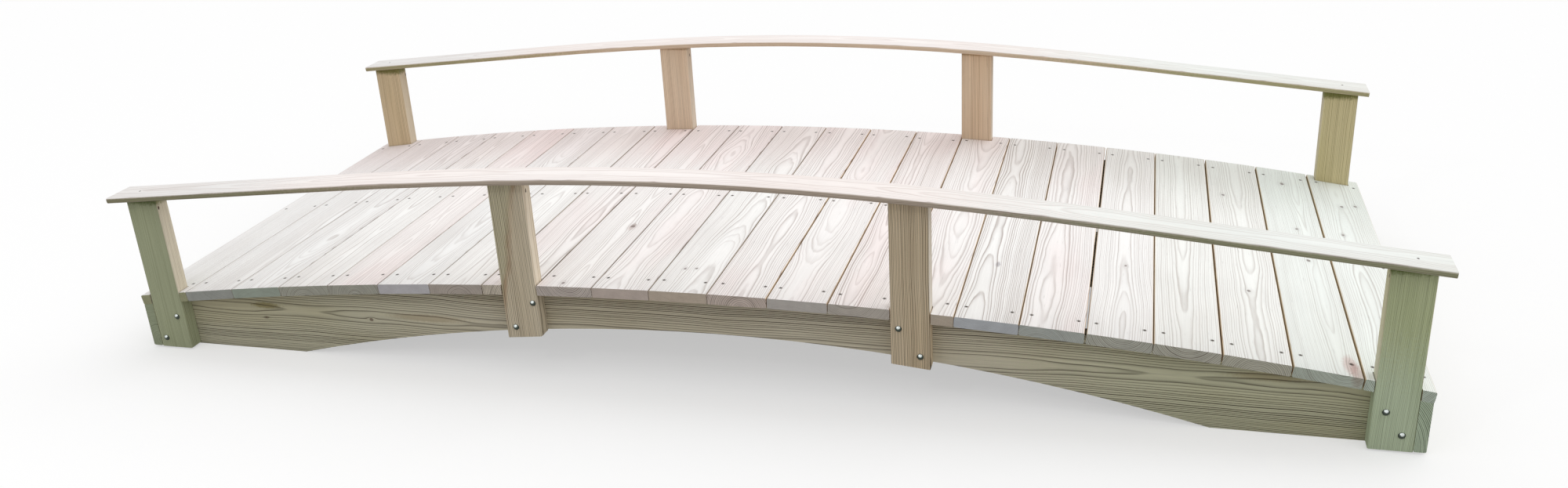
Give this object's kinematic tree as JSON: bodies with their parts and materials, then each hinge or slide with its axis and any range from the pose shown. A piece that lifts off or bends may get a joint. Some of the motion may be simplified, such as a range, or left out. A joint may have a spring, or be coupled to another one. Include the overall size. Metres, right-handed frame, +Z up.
{
  "type": "arched timber garden foot bridge",
  "caption": "Low arched garden foot bridge of treated pine with notched deck boards, bolted posts and thin handrails sprung along its curve.",
  "frame": {"origin": "on the ground under the middle of the bridge, at the feet's level", "axes": "+X along the walk, +Y across it away from the front side, +Z up"},
  "size_m": [3.1002, 1.2892, 0.5442],
  "materials": {
    "deck": "bleached treated pine, lightly greened",
    "post": "weathered treated pine, olive tan",
    "rail": "bleached treated pine",
    "stringer": "sawn treated pine, grey tan with dark grain",
    "end_board": "treated pine with rounded edges"
  },
  "bodies": {
    "root": {"deck_board_01": "deck", "deck_board_02": "deck", "deck_board_03": "deck", "deck_board_04": "deck", "deck_board_05": "deck", "deck_board_06": "deck", "deck_board_07": "deck", "deck_board_08": "deck", "deck_board_09": "deck", "deck_board_10": "deck", "deck_board_11": "deck", "deck_board_12": "deck", "deck_board_13": "deck", "deck_board_14": "deck", "deck_board_15": "deck", "deck_board_16": "deck", "deck_board_17": "deck", "deck_board_18": "deck", "deck_board_19": "deck", "deck_board_20": "deck", "deck_board_21": "deck", "deck_board_22": "deck", "post_front_1": "post", "post_front_2": "post", "post_front_3": "post", "post_front_4": "post", "handrail_front": "rail", "post_back_1": "post", "post_back_2": "post", "post_back_3": "post", "post_back_4": "post", "handrail_back": "rail", "stringer_front": "stringer", "stringer_middle": "stringer", "stringer_back": "stringer", "end_board_left": "end_board", "end_board_right": "end_board"}
  },
  "joints": []
}
